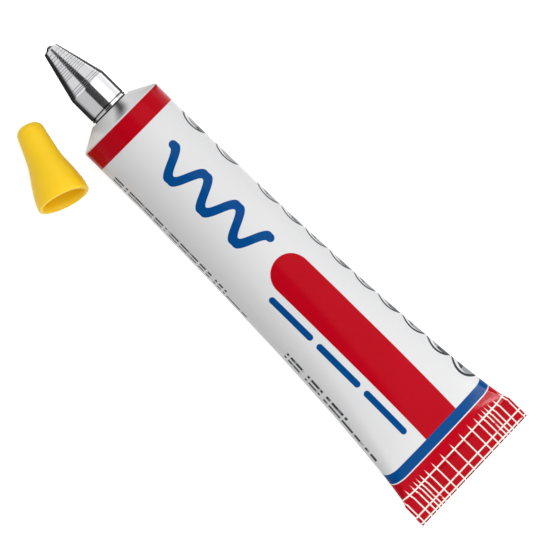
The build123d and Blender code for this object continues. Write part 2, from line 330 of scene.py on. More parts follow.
# Cards for the polished nozzle: X from the middle of the floor, Y from the marker's axis, Z from the
# floor. The overhead card has (x, near y, far y) at its two ends. Levels, ramps and fades go across.
CARD_EDGE = 0.001
OVERHEAD_HEIGHT = 0.5
OVERHEAD_TAIL = (0.3, -0.75, 0.075)
OVERHEAD_NOSE = (-0.4, -0.34, 0.105)
OVERHEAD_LEVELS = (0.035, 0.035)
OVERHEAD_FADES = (0.22, 0.16)
NEAR_X = (-0.108, -0.056)
COLLAR_SPLIT_X = -0.069
FLOOR_CARD_HEIGHT = 0.0006
RIGHT_CARD_Y = (0.018, 0.12)
RIGHT_LEVELS = (0.06, 0.10)
RIGHT_FADES = (0.06, 0.6)
UNDER_CARD_Y = (-0.009, 0.002)
UNDER_LEVELS = (0.03, 0.03)
LEFT_CARD_Y = -0.009
LEFT_RAMP = (0.49, 0.62)
CONE_CARD_TOP = 0.030
CONE_LEVELS = (0.03, 0.96)
COLLAR_CARD_TOP = 0.0278
COLLAR_LEVELS = (0.03, 0.6)
WHOLE_RAMP = (0.0, 1.0)
NO_FADES = (0.0, 0.0)


def srgb(colour):
    """Linear RGBA of an sRGB colour written from 0 to 255."""
    shares = [channel / 255 for channel in colour]
    linear = [s / 12.92 if s <= 0.04045 else ((s + 0.055) / 1.055) ** 2.4 for s in shares]
    return (*linear, 1.0)


def row_place(along, side, start):
    """Millimetres in a frame with these X and Y to metres in the row frame."""
    turn = Matrix((along, side, along.cross(side))).transposed().to_4x4()
    return Matrix.Translation(start) @ turn @ Matrix.Scale(MM, 4)


def marker_place():
    """Place of the marker's frame, from the joints at the ball."""
    joints = {joint["name"]: joint for joint in frame["joints"]}
    along = Vector(joints["ball_press"]["axis"]).normalized()
    start = Vector(joints["ball_roll"]["pos_m"]) - along * BALL_X * MM
    return row_place(along, Vector((0, 1, 0)), start)


def cap_place():
    """Place of the cap's frame, from the mount at its seat."""
    seat = next(mount for mount in frame["record"]["mounts"] if mount["name"] == "cap_seat")
    along = Vector(seat["axis"]).normalized()
    side = Vector((0, 0, 1)).cross(along).normalized()
    start = Vector(seat["pos_m"]) - along * CAP_SEAT_MIDDLE * MM
    return row_place(along, side, start)


MARKER_PLACE = marker_place()
MARKER_LIFT = MARKER_PLACE.inverted()
AXIS_Y = MARKER_PLACE.translation.y
CAP_PLACE = cap_place()


def new_object(name, data):
    """A new object of the scene that holds the data."""
    made = bpy.data.objects.new(name, data)
    bpy.context.scene.collection.objects.link(made)
    return made


# Node helpers

def put(tree, socket, value):
    """Links a socket to another, or sets it to a constant."""
    if isinstance(value, bpy.types.NodeSocket):
        tree.links.new(value, socket)
    else:
        socket.default_value = value


def maths(tree, operation, *values):
    """One Math node on sockets or numbers."""
    node = tree.nodes.new("ShaderNodeMath")
    node.operation = operation
    for socket, value in zip(node.inputs, values):
        put(tree, socket, value)
    return node.outputs[0]


def ramp(tree, value, low, high):
    """0 at low, 1 at high, eased between them; low may be the larger."""
    node = tree.nodes.new("ShaderNodeMapRange")
    node.interpolation_type = "SMOOTHSTEP"
    put(tree, node.inputs["Value"], value)
    put(tree, node.inputs["From Min"], low)
    put(tree, node.inputs["From Max"], high)
    return node.outputs["Result"]


def laid_over(tree, share, under, over):
    """Colour over laid on colour under by a share."""
    node = tree.nodes.new("ShaderNodeMix")
    node.data_type = "RGBA"
    # Inputs 6 and 7 and output 2 are the node's colours
    put(tree, node.inputs[0], share)
    put(tree, node.inputs[6], under)
    put(tree, node.inputs[7], over)
    return node.outputs[2]


def clouded(tree, clouds, colour, depth):
    """Colour that the clouds darken by up to a few levels."""
    deeper = tuple(max(0, channel - depth) for channel in colour)
    return laid_over(tree, clouds, srgb(deeper), srgb(colour))


def speckle(tree, place, scale, detail=NOISE_DETAIL):
    """Noise from 0 to 1 at a place."""
    node = tree.nodes.new("ShaderNodeTexNoise")
    put(tree, node.inputs["Vector"], place)
    node.inputs["Scale"].default_value = scale
    node.inputs["Detail"].default_value = detail
    node.inputs["Roughness"].default_value = NOISE_ROUGHNESS
    return node.outputs["Fac"]


def stretched(tree, place, shares):
    """A place with its axes scaled, for grain that runs one way."""
    node = tree.nodes.new("ShaderNodeMapping")
    put(tree, node.inputs["Vector"], place)
    node.inputs["Scale"].default_value = shares
    return node.outputs["Vector"]


def object_place(tree):
    """Object coordinates."""
    return tree.nodes.new("ShaderNodeTexCoord").outputs["Object"]


def parted(tree, place):
    """X, Y and Z of a place."""
    split = tree.nodes.new("ShaderNodeSeparateXYZ")
    put(tree, split.inputs[0], place)
    return split.outputs


def chart_place(tree, name):
    """Coordinates of one of the mesh's own charts."""
    chart = tree.nodes.new("ShaderNodeUVMap")
    chart.uv_map = name
    return chart.outputs["UV"]


def bumped(tree, shader, height, strength, distance):
    """Fine relief from a height."""
    node = tree.nodes.new("ShaderNodeBump")
    node.inputs["Strength"].default_value = strength
    node.inputs["Distance"].default_value = distance
    put(tree, node.inputs["Height"], height)
    put(tree, shader.inputs["Normal"], node.outputs["Normal"])


def new_material(name):
    """A new material, its node tree and its shader."""
    material = bpy.data.materials.new(name)
    material.use_nodes = True
    shader = material.node_tree.nodes["Principled BSDF"]
    return material, material.node_tree, shader


def seen_rays(tree):
    """1 for rays that show a surface: from the camera, in gloss or through glass."""
    rays = tree.nodes.new("ShaderNodeLightPath").outputs
    seen = maths(tree, "MAXIMUM", rays["Is Camera Ray"], rays["Is Glossy Ray"])
    return maths(tree, "MAXIMUM", seen, rays["Is Transmission Ray"])


# The tube's print

class Label:
    """The tube's chart in nodes: u round the girth and x along the barrel, in millimetres."""

    def __init__(self, tree):
        self.tree = tree
        spot = parted(tree, chart_place(tree, "label"))
        self.u = self.times(self.minus(spot["X"], 0.5), GIRTH)
        self.x = self.times_add(spot["Y"], CHART_LENGTH, CHART_START)
        # The print is a little askew to the crimp
        self.askew = self.times_add(self.minus(self.x, BAR_START), -BAR_SKEW, self.u)

    def maths(self, operation, *values):
        return maths(self.tree, operation, *values)

    def minus(self, a, b):
        return self.maths("SUBTRACT", a, b)

    def times(self, a, b):
        return self.maths("MULTIPLY", a, b)

    def times_add(self, a, b, c):
        return self.maths("MULTIPLY_ADD", a, b, c)

    def over(self, a, b):
        return self.maths("DIVIDE", a, b)

    def larger(self, a, b):
        return self.maths("MAXIMUM", a, b)

    def held(self, value, low, high):
        """A value kept between two others."""
        return self.maths("MINIMUM", self.larger(value, low), high)

    def away(self, value, centre):
        """Distance of a value from a centre."""
        return self.maths("ABSOLUTE", self.minus(value, centre))

    def length_of(self, a, b):
        """Length of a step by a and b."""
        return self.maths("SQRT", self.times_add(a, a, self.times(b, b)))

    def ramp(self, value, low, high):
        return ramp(self.tree, value, low, high)

    def inside(self, distance, reach):
        """1 where a distance is less than a reach, with a crisp edge."""
        return self.ramp(self.minus(distance, reach), PRINT_EDGE, -PRINT_EDGE)

    def after(self, start, along):
        """1 past a start, with a crisp edge."""
        return self.ramp(along, start - PRINT_EDGE, start + PRINT_EDGE)

    def between(self, start, end, along=None):
        """1 from a start to an end along the barrel."""
        along = self.x if along is None else along
        return self.times(self.after(start, along), self.ramp(along, end + PRINT_EDGE, end - PRINT_EDGE))


def wavy_line(label):
    """A wavy line of paint."""
    held = label.held(label.x, WAVE_START, WAVE_START + WAVE_TURNS * WAVE_LENGTH)
    phase = label.times(label.minus(held, WAVE_START), 2 * math.pi / WAVE_LENGTH)
    crest = label.times_add(label.maths("COSINE", phase), WAVE_SWING, WAVE_U)
    slope = label.times(label.maths("SINE", phase), WAVE_SWING * 2 * math.pi / WAVE_LENGTH)
    lean = label.maths("SQRT", label.times_add(slope, slope, 1.0))
    off_crest = label.over(label.away(label.askew, crest), lean)
    return label.inside(label.length_of(off_crest, label.away(label.x, held)), WAVE_HALF_WIDTH)


def broken_rule(label):
    """A plain rule below the bar, broken at an even pitch into pieces with round ends."""
    beat = label.maths("WRAP", label.minus(label.x, RULE_START), RULE_PITCH, 0.0)
    gap = label.minus(label.away(beat, RULE_PITCH / 2), RULE_PITCH / 2 - RULE_BREAK - RULE_HALF_WIDTH)
    off_rule = label.length_of(label.larger(gap, 0.0), label.away(label.askew, RULE_U))
    return label.times(label.inside(off_rule, RULE_HALF_WIDTH), label.between(RULE_START, RULE_END))


def round_bar(label):
    """The bar, with a round end towards the nozzle."""
    ahead = label.larger(label.minus(BAR_START + BAR_HALF_WIDTH, label.x), 0.0)
    return label.inside(label.length_of(ahead, label.away(label.askew, BAR_U)), BAR_HALF_WIDTH)


def hairlines(label):
    """Fine broken lines low on the side of the cap."""
    hairs = 0.0
    for start, end, side in HAIRLINES:
        hair = label.inside(label.away(label.u, side), HAIR_HALF_WIDTH)
        hairs = label.larger(hairs, label.times(hair, label.between(start, end)))
    dash = label.tree.nodes.new("ShaderNodeTexWhiteNoise")
    dash.noise_dimensions = "1D"
    put(label.tree, dash.inputs["W"], label.maths("FLOOR", label.over(label.x, DASH_LENGTH)))
    return label.times(hairs, label.ramp(dash.outputs["Value"], *DASH_RAMP))


def circle_row(label):
    """Row of plain circles down the other side, the discs in them, and every other place of the row."""
    run = label.minus(label.x, ROW_START)
    step = label.maths("WRAP", run, ROW_PITCH / 2, -ROW_PITCH / 2)
    off_row = label.minus(label.times_add(label.x, -ROW_SKEW, label.u), ROW_U)
    steps = [(step, label.between(ROW_START - ROW_PITCH / 2, ROW_LAST + ROW_PITCH / 2))]
    steps += [(label.minus(label.x, extra), 1.0) for extra in ROW_EXTRAS]
    circles, discs = 0.0, 0.0
    for along, there in steps:
        circle = label.inside(label.away(label.length_of(along, off_row), ROW_RADIUS), ROW_LINE)
        circles = label.larger(circles, label.times(circle, there))
        disc = label.inside(label.length_of(label.minus(along, DISC_ASIDE), off_row), DISC_RADIUS)
        discs = label.larger(discs, label.times(disc, there))
    odd = label.maths("PINGPONG", label.maths("FLOOR", label.over(run, ROW_PITCH)), 1.0)
    return circles, discs, odd


def tail_scores(label, bow):
    """White lines, along and across the tail, where the crimp scored the red."""
    share = label.over(label.minus(label.x, ROUND_LENGTH), FLAT_X - ROUND_LENGTH)
    closed = label.maths("POWER", label.held(share, 0.0, 1.0), FLATTEN_POWER)
    open_share = label.maths("POWER", label.minus(1.0, closed), 1 / CLOSING_POWER)
    straight = label.times_add(open_share, SCORE_LEAN * (BARREL_RADIUS - WEB_THICKNESS / 2), label.u)
    started = label.ramp(label.x, SCORE_START, SCORE_START + SCORE_TAPER)
    reach = label.minus(label.times(started, SCORE_LINE + PRINT_EDGE), PRINT_EDGE)
    scores = 0.0
    for count in range(-SCORES, SCORES + 1):
        side = SCORE_PITCH * count + SCORE_SWING * math.sin(2 * math.pi * count / SCORE_CYCLE)
        scores = label.larger(scores, label.inside(label.away(straight, side), reach))
    crossed = label.times_add(bow, CROSS_BOW_SHARE, label.x)
    for cross, along in zip(CROSS_PLACES, (crossed, label.x, label.x)):
        scores = label.larger(scores, label.inside(label.away(along, cross), CROSS_LINE))
    patchy = label.ramp(speckle(label.tree, object_place(label.tree), PATCH_SCALE), *PATCH_RAMP)
    return label.times(scores, patchy)


def painted_nozzle_shade(label):
    """Painted shade and dark reflection of the nozzle, a patch laid over the bare shoulder beside its base."""
    leaning = label.times_add(label.x, NOZZLE_SHADE_LEAN, label.u)
    shaded = label.times(label.ramp(label.away(leaning, NOZZLE_SHADE_U), NOZZLE_SHADE_HALF_WIDTH, 0.0), NOZZLE_SHADE_SHARE)
    return label.times(shaded, label.ramp(label.x, NOZZLE_SHADE_X[1], NOZZLE_SHADE_X[0]))


# Materials

def tube_material():
    """White enamel with its print, bare metal on the shoulder and scored red on the tail."""
    material, tree, shader = new_material("tube_enamel")
    label = Label(tree)
    place = object_place(tree)
    clouds = speckle(tree, place, ENAMEL_CLOUD_SCALE)
    enamel = clouded(tree, clouds, ENAMEL_WHITE, ENAMEL_CLOUD)
    red = clouded(tree, clouds, PRINT_RED, RED_CLOUD)
    blue = clouded(tree, clouds, PRINT_BLUE, BLUE_CLOUD)
    dark = srgb(PRINT_DARK)
    circles, discs, odd = circle_row(label)

    # Towards the folded sides of the tail the bands bow forward
    beyond = label.larger(label.minus(label.maths("ABSOLUTE", label.u), BOW_U), 0.0)
    bow = label.times(label.times(beyond, beyond), BOW_SHARE)
    bowed = label.maths("ADD", label.x, bow)
    tail = label.after(TAIL_START, bowed)
    scores = label.times(tail_scores(label, bow), tail)
    bare = label.ramp(label.x, ENAMEL_X + PRINT_EDGE, ENAMEL_X - PRINT_EDGE)

    # What lies on the enamel, from the lowest up
    colour = enamel
    for share, ink in (
            (wavy_line(label), blue),
            (broken_rule(label), blue),
            (round_bar(label), red),
            (hairlines(label), dark),
            (discs, laid_over(tree, odd, srgb(PRINT_GREY), dark)),
            (circles, dark),
            (label.between(BAND_START, BAND_END), red),
            (label.between(BLUE_START, BLUE_END, bowed), blue),
            (label.between(BLUE_END, TAIL_START, bowed), srgb(ENAMEL_WHITE)),
            (tail, red),
            # Painted shade: the red darkens towards the rounded end of the hem
            (label.ramp(label.x, FOLD_X - FOLD_FADE, FOLD_X), srgb(FOLD_SHADE_RED)),
            (scores, srgb(SCORE_WHITE)),
            # The bare shoulder, with the painted shade and dark reflection of the nozzle laid over it
            (bare, laid_over(tree, painted_nozzle_shade(label), srgb(BARE_METAL), srgb(NOZZLE_SHADE_DARK)))):
        colour = laid_over(tree, share, colour, ink)
    put(tree, shader.inputs["Base Color"], colour)
    put(tree, shader.inputs["Metallic"], label.times(bare, BARE_METALLIC))
    gloss = label.times_add(speckle(tree, place, ENAMEL_SMUDGE_SCALE), ENAMEL_SMUDGE, ENAMEL_ROUGHNESS)
    put(tree, shader.inputs["Roughness"], label.times_add(bare, BARE_ROUGHNESS, gloss))
    shader.inputs["Specular IOR Level"].default_value = ENAMEL_SPECULAR
    peel = speckle(tree, place, PEEL_SCALE, PEEL_DETAIL)
    bumped(tree, shader, label.times_add(scores, SCORE_RELIEF, peel), *ENAMEL_BUMP)
    return material


def nozzle_material():
    """Polished metal with faint lathe lines round the nozzle's axis, duller on the cone, with painted shade in the
    collar's groove and a darker nose lip.
    """
    material, tree, shader = new_material("nozzle_metal")
    place = object_place(tree)
    x = parted(tree, place)["X"]
    nose, collar, groove = ((MARKER_PLACE @ Vector((along, 0, 0))).x
                            for along in (NOSE_X, COLLAR_END_X, GROOVE_X))
    smudges = speckle(tree, place, POLISH_SMUDGE_SCALE)
    polish = clouded(tree, smudges, POLISHED_METAL, POLISH_CLOUD)
    on_cone = ramp(tree, x, collar, collar - CONE_EDGE_ROUND * MM)
    polish = laid_over(tree, on_cone, polish, srgb(CONE_METAL))
    # Darker metal at the nose lip round the ball
    nose_dark = ramp(tree, x, nose + NOSE_DARK_LENGTH * MM, nose - NOSE_DARK_LENGTH * MM)
    # Painted shade in the collar's groove: the metal there is darkened
    off_groove = maths(tree, "ABSOLUTE", maths(tree, "SUBTRACT", x, groove))
    groove_shade = ramp(tree, off_groove, GROOVE_WIDTH * MM, GROOVE_WIDTH / 2 * MM)
    nose_dark_and_groove_shade = maths(tree, "MAXIMUM", nose_dark, groove_shade)
    put(tree, shader.inputs["Base Color"], laid_over(tree, nose_dark_and_groove_shade, polish, srgb(GROOVE_SHADE_NOSE_DARK_METAL)))
    shader.inputs["Metallic"].default_value = 1.0
    gloss = maths(tree, "MULTIPLY_ADD", smudges, POLISH_SMUDGE, POLISH_ROUGHNESS)
    put(tree, shader.inputs["Roughness"], gloss)
    lines = speckle(tree, stretched(tree, place, LATHE_STRETCH), 1.0, LATHE_DETAIL)
    bumped(tree, shader, lines, *LATHE_BUMP)
    return material


def cap_material():
    """Soft moulded plastic that lets a little light through."""
    material, tree, shader = new_material("cap_plastic")
    place = object_place(tree)
    clouds = speckle(tree, place, CAP_CLOUD_SCALE)
    put(tree, shader.inputs["Base Color"], laid_over(tree, clouds, srgb(CAP_YELLOW_DEEP), srgb(CAP_YELLOW)))
    grain = speckle(tree, place, CAP_GRAIN_SCALE, CAP_GRAIN_DETAIL)
    put(tree, shader.inputs["Roughness"], maths(tree, "MULTIPLY_ADD", grain, CAP_GRAIN, CAP_ROUGHNESS))
    shader.inputs["Subsurface Weight"].default_value = CAP_GLOW_WEIGHT
    shader.inputs["Subsurface Radius"].default_value = CAP_GLOW_RADIUS
    shader.inputs["Subsurface Scale"].default_value = CAP_GLOW_SCALE
    shader.inputs["Specular IOR Level"].default_value = CAP_SPECULAR
    bumped(tree, shader, grain, *CAP_BUMP)
    return material


def grained(name):
    """Material whose colour, roughness and fine relief follow one noise on Object coordinates."""
    dark, pale, scale, roughness, spread, metallic = GRAINED[name]
    material, tree, shader = new_material(name)
    grains = speckle(tree, object_place(tree), scale)
    put(tree, shader.inputs["Base Color"], laid_over(tree, grains, srgb(dark), srgb(pale)))
    least = roughness - spread / 2
    put(tree, shader.inputs["Roughness"], maths(tree, "MULTIPLY_ADD", grains, spread, least))
    shader.inputs["Metallic"].default_value = metallic
    bumped(tree, shader, grains, *GRAIN_BUMP)
    return material


# Meshes

def piece(name, points, faces, place, material, chart=None):
    """Object at the origin whose mesh is the points put in place, with an optional label chart."""
    mesh = bpy.data.meshes.new(name)
    mesh.from_pydata([place @ Vector(point) for point in points], [], faces)
    if chart:
        layer = mesh.uv_layers.new(name="label")
        for loop, spot in zip(layer.data, (spot for face in chart for spot in face)):
            loop.uv = spot
    mesh.materials.append(material)
    mesh.shade_smooth()
    mesh.set_sharp_from_angle(angle=math.radians(SHARP_ANGLE))
    return new_object(name, mesh)


def eased(outline):
    """Outline points with an arc of the given radius at each corner that has one."""
    smooth = []
    for index, (x, out, radius) in enumerate(outline):
        corner = Vector((x, out))
        if not radius:
            smooth.append(corner)
            continue
        before = (Vector(outline[index - 1][:2]) - corner).normalized()
        after = (Vector(outline[(index + 1) % len(outline)][:2]) - corner).normalized()
        half = before.angle(after) / 2
        reach = radius / math.tan(half)
        middle = corner + (before + after).normalized() * radius / math.sin(half)
        first = corner + before * reach - middle
        last = corner + after * reach - middle
        for step in range(ARC_STEPS + 1):
            spoke = first.lerp(last, step / ARC_STEPS).normalized() * radius
            smooth.append(middle + spoke)
    return [(point.x, point.y) for point in smooth]


def lathed(outline):
    """Points and faces of a closed outline of (x, radius) turned about X."""
    points, rings = [], []
    for x, out in outline:
        if out < ON_AXIS:
            rings.append([len(points)] * TURN_STEPS)
            points.append((x, 0, 0))
            continue
        rings.append(list(range(len(points), len(points) + TURN_STEPS)))
        for step in range(TURN_STEPS):
            angle = 2 * math.pi * step / TURN_STEPS
            points.append((x, out * math.sin(angle), out * math.cos(angle)))
    faces = []
    for here, there in zip(rings, rings[1:] + rings[:1]):
        for step in range(TURN_STEPS):
            ahead = (step + 1) % TURN_STEPS
            corners = [here[step], there[step], there[ahead], here[ahead]]
            face = list(dict.fromkeys(corners))
            if len(face) > 2:
                faces.append(face)
    return points, faces


def half_height_at(x):
    """Half height of the barrel at a place along it."""
    share = min(max((x - ROUND_LENGTH) / (FLAT_X - ROUND_LENGTH), 0), 1)
    flat = WEB_THICKNESS / 2
    return flat + (BARREL_RADIUS - flat) * (1 - share ** FLATTEN_POWER) ** (1 / CLOSING_POWER)


def oval(half_height):
    """Half width, side radius, face radius and join angle of a section of constant girth."""
    share = half_height / BARREL_RADIUS
    if share > ROUND_SHARE:
        # The arcs of a circle may join at any angle
        return BARREL_RADIUS, BARREL_RADIUS, BARREL_RADIUS, math.pi / 6
    side = half_height * (SIDE_ROUND_SHARE + (1 - SIDE_ROUND_SHARE) * share)
    narrow, wide = half_height, math.pi * BARREL_RADIUS
    for _ in range(BISECTIONS):
        half_width = (narrow + wide) / 2
        reach = half_width - side
        face = (reach ** 2 + half_height ** 2 - side ** 2) / (2 * (half_height - side))
        join = math.atan2(reach, face - half_height)
        if face * join + side * (math.pi / 2 - join) < GIRTH / 4:
            narrow = half_width
        else:
            wide = half_width
    return half_width, side, face, join


def on_section(shape, half_height, u):
    """Y and Z of the point of a section at u round the girth."""
    half_width, side, face, join = shape
    run = min(abs(u), GIRTH / 2 - abs(u))
    if run < face * join:
        y = face * math.sin(run / face)
        z = half_height - face * (1 - math.cos(run / face))
    else:
        angle = join + (run - face * join) / side
        y = half_width - side + side * math.sin(angle)
        z = side * math.cos(angle)
    return math.copysign(y, u), z if abs(u) < GIRTH / 4 else -z


def shoulder_outline():
    """Neck, land and shoulder up to the barrel, as (x, radius)."""
    outline = [
        (NECK_END_X, 0, 0),
        (NECK_END_X, NECK_RADIUS, 0),
        (-SHOULDER_RISE, NECK_RADIUS, 0),
        (-SHOULDER_RISE, LAND_RADIUS, EDGE_ROUND),
        (0, BARREL_RADIUS, CORNER_ROUND),
        (ROUND_LENGTH, BARREL_RADIUS, 0),
    ]
    return eased(outline)[:-1]


def hem_outline():
    """Closed outline, in X and Z, of the web folded under itself twice."""
    pitch = WEB_THICKNESS + FOLD_GAP
    half = WEB_THICKNESS / 2
    end = BARREL_LENGTH - pitch - half
    back = HEM_X + pitch / 2 + half
    bend = [math.pi * step / (2 * ARC_STEPS) for step in range(2 * ARC_STEPS + 1)]
    path = [(HEM_X - half, 0)]
    path += [(end + pitch * math.sin(a), pitch * math.cos(a) - pitch) for a in bend]
    path += [(back - pitch / 2 * math.sin(a), -1.5 * pitch - pitch / 2 * math.cos(a)) for a in bend]
    path.append((end, -pitch))
    left, right = [], []
    for index, spot in enumerate(path):
        before = Vector(path[max(index - 1, 0)])
        after = Vector(path[min(index + 1, len(path) - 1)])
        heading = (after - before).normalized()
        across = Vector((-heading.y, heading.x)) * half
        left.append(tuple(Vector(spot) + across))
        right.append(tuple(Vector(spot) - across))
    return left + right[::-1]


def barrel_places():
    """Places along the barrel of its sections, closer together where it closes."""
    run = FLAT_X - CLOSING_SPAN - ROUND_LENGTH
    places = [ROUND_LENGTH + run * step / BARREL_STEPS for step in range(BARREL_STEPS)]
    places += [FLAT_X - CLOSING_SPAN * (1 - step / CLOSING_STEPS) ** 2 for step in range(CLOSING_STEPS)]
    places += [FLAT_X + (HEM_X - FLAT_X) * step / WEB_STEPS for step in range(WEB_STEPS + 1)]
    return places


def dented(spot, fade):
    """A point of the barrel moved in or out by its shallow dents."""
    dent = DENT_DEPTH * fade * noise.noise(spot / DENT_SIZE + DENT_SEED)
    outward = Vector((spot.y, spot.z)).normalized()
    return Vector((spot.x, spot.y + outward.x * dent, spot.z + outward.y * dent))


def on_belly(spot):
    """A point of the barrel, pressed up where the marker rests on its faintly crowned belly."""
    laid = MARKER_PLACE @ spot
    aside = (laid.y - AXIS_Y) / MM
    bed = (BELLY_CROWN - math.sqrt(BELLY_CROWN ** 2 - aside ** 2)) * MM
    laid.z = max(laid.z, bed)
    return tuple(MARKER_LIFT @ laid)


def tube_piece(material):
    """Shoulder and barrel as one skin, closed by the folded hem."""
    points, rings, places = [], [], []
    for x, out in shoulder_outline():
        rings.append(len(points))
        places.append(x)
        for step in range(GIRTH_STEPS):
            angle = 2 * math.pi * step / GIRTH_STEPS - math.pi
            points.append((x, out * math.sin(angle), out * math.cos(angle)))
    for x in barrel_places():
        rings.append(len(points))
        places.append(x)
        half_height = half_height_at(x)
        shape = oval(half_height)
        fade_in = min(1, max(0, (x - ROUND_LENGTH) / DENT_FADE))
        fade_out = min(1, max(0, (FLAT_X - x) / DENT_FADE))
        for step in range(GIRTH_STEPS):
            y, z = on_section(shape, half_height, GIRTH * (step / GIRTH_STEPS - 0.5))
            points.append(on_belly(dented(Vector((x, y, z)), fade_in * fade_out)))
    faces, chart = [], []
    for index in range(len(rings) - 1):
        low = (places[index] - CHART_START) / CHART_LENGTH
        high = (places[index + 1] - CHART_START) / CHART_LENGTH
        for step in range(GIRTH_STEPS):
            ahead = (step + 1) % GIRTH_STEPS
            faces.append((rings[index] + step, rings[index + 1] + step,
                          rings[index + 1] + ahead, rings[index] + ahead))
            left, right = step / GIRTH_STEPS, (step + 1) / GIRTH_STEPS
            chart.append(((left, low), (left, high), (right, high), (right, low)))
    add_hem(points, faces, chart)
    return piece("tube", points, faces, MARKER_PLACE, material, chart)


def add_hem(points, faces, chart):
    """Folded hem across the tail, as its own closed strip."""
    outline = hem_outline()
    half_width = oval(WEB_THICKNESS / 2)[0]
    sides = [half_width * (2 * column / HEM_STEPS - 1) for column in range(HEM_STEPS + 1)]
    start, count = len(points), len(outline)

    def spot(x, y):
        return y / GIRTH + 0.5, (x - CHART_START) / CHART_LENGTH

    for y in sides:
        points.extend((x, y, z) for x, z in outline)
    for column, (y0, y1) in enumerate(zip(sides, sides[1:])):
        here, there = start + column * count, start + (column + 1) * count
        for index in range(count):
            ahead = (index + 1) % count
            faces.append((here + index, here + ahead, there + ahead, there + index))
            x0, x1 = outline[index][0], outline[ahead][0]
            chart.append((spot(x0, y0), spot(x1, y0), spot(x1, y1), spot(x0, y1)))
    last = start + HEM_STEPS * count
    for base, y, order in ((start, -half_width, -1), (last, half_width, 1)):
        ring = list(range(count))[::order]
        faces.append([base + index for index in ring])
        chart.append([spot(outline[index][0], y) for index in ring])


def nozzle_piece(material):
    """Turned nozzle: nose, cone, grooved collar, and the socket and bores inside."""
    groove_end = BASE_X - GROOVE_SETBACK
    groove_start = groove_end - GROOVE_WIDTH
    groove_radius = COLLAR_RADIUS - GROOVE_DEPTH
    socket_end = BASE_X - SOCKET_DEPTH
    lip_radius = math.sqrt(BORE_RADIUS ** 2 - (BALL_X - LIP_X) ** 2)
    outline = [
        (LIP_X, lip_radius, 0),
        (NOSE_X, NOSE_RADIUS, EDGE_ROUND),
        (COLLAR_END_X, COLLAR_RADIUS, CONE_EDGE_ROUND),
        (groove_start, COLLAR_RADIUS, GROOVE_ROUND),
        (groove_start, groove_radius, GROOVE_ROUND),
        (groove_end, groove_radius, GROOVE_ROUND),
        (groove_end, COLLAR_RADIUS, GROOVE_ROUND),
        (BASE_X, COLLAR_RADIUS, EDGE_ROUND),
        (BASE_X, SOCKET_RADIUS, EDGE_ROUND),
        (socket_end, SOCKET_RADIUS, 0),
        (socket_end, PLUG_RADIUS, 0),
        (PLUG_X, PLUG_RADIUS, 0),
        (PLUG_X, BORE_RADIUS, 0),
        (BALL_X, BORE_RADIUS, 0),
    ]
    points, faces = lathed(eased(outline))
    return piece("nozzle", points, faces, MARKER_PLACE, material)


def ring_tree(material):
    """Geometry Nodes tree: a row of fine rings round X whose radius grows with the cone."""
    tree = bpy.data.node_groups.new("turned_rings", "GeometryNodeTree")
    sockets = {}
    for name, kind in (("Count", "Int"), ("First Place", "Float"), ("Pitch", "Float"),
                       ("First Radius", "Float"), ("Slope", "Float"), ("Wire Radius", "Float"),
                       ("Shift", "Float"), ("Seed", "Int")):
        socket = tree.interface.new_socket(name, in_out="INPUT", socket_type="NodeSocket" + kind)
        sockets[name] = socket.identifier
    tree.interface.new_socket("Geometry", in_out="OUTPUT", socket_type="NodeSocketGeometry")
    given = tree.nodes.new("NodeGroupInput").outputs

    def add(kind, inputs):
        """Outputs of a new node whose inputs are linked or set."""
        node = tree.nodes.new("GeometryNode" + kind)
        for name, value in inputs.items():
            put(tree, node.inputs[name], value)
        return node.outputs

    def along_x(value):
        node = tree.nodes.new("ShaderNodeCombineXYZ")
        put(tree, node.inputs["X"], value)
        return node.outputs[0]

    row = add("MeshLine", {"Count": given["Count"], "Start Location": along_x(given["First Place"]),
                           "Offset": along_x(given["Pitch"])})
    chance = tree.nodes.new("FunctionNodeRandomValue")
    chance.data_type = "FLOAT"
    # Input 3 is the largest number and output 1 the one drawn
    put(tree, chance.inputs[3], given["Shift"])
    put(tree, chance.inputs["Seed"], given["Seed"])
    uneven = add("SetPosition", {"Geometry": row["Mesh"], "Offset": along_x(chance.outputs[1])})
    circle = add("CurvePrimitiveCircle", {"Resolution": TURN_STEPS, "Radius": 1.0})
    x = parted(tree, add("InputPosition", {})[0])["X"]
    run = maths(tree, "SUBTRACT", x, given["First Place"])
    radius = maths(tree, "MULTIPLY_ADD", run, given["Slope"], given["First Radius"])
    rings = add("InstanceOnPoints", {"Points": uneven["Geometry"], "Instance": circle["Curve"],
                                     "Rotation": (0, math.pi / 2, 0), "Scale": radius})
    real = add("RealizeInstances", {"Geometry": rings["Instances"]})
    wire = add("CurvePrimitiveCircle", {"Resolution": RING_SIDES, "Radius": given["Wire Radius"]})
    skin = add("CurveToMesh", {"Curve": real["Geometry"], "Profile Curve": wire["Curve"]})
    finish = add("SetMaterial", {"Geometry": skin["Mesh"], "Material": material})
    put(tree, tree.nodes.new("NodeGroupOutput").inputs[0], finish["Geometry"])
    return tree, sockets


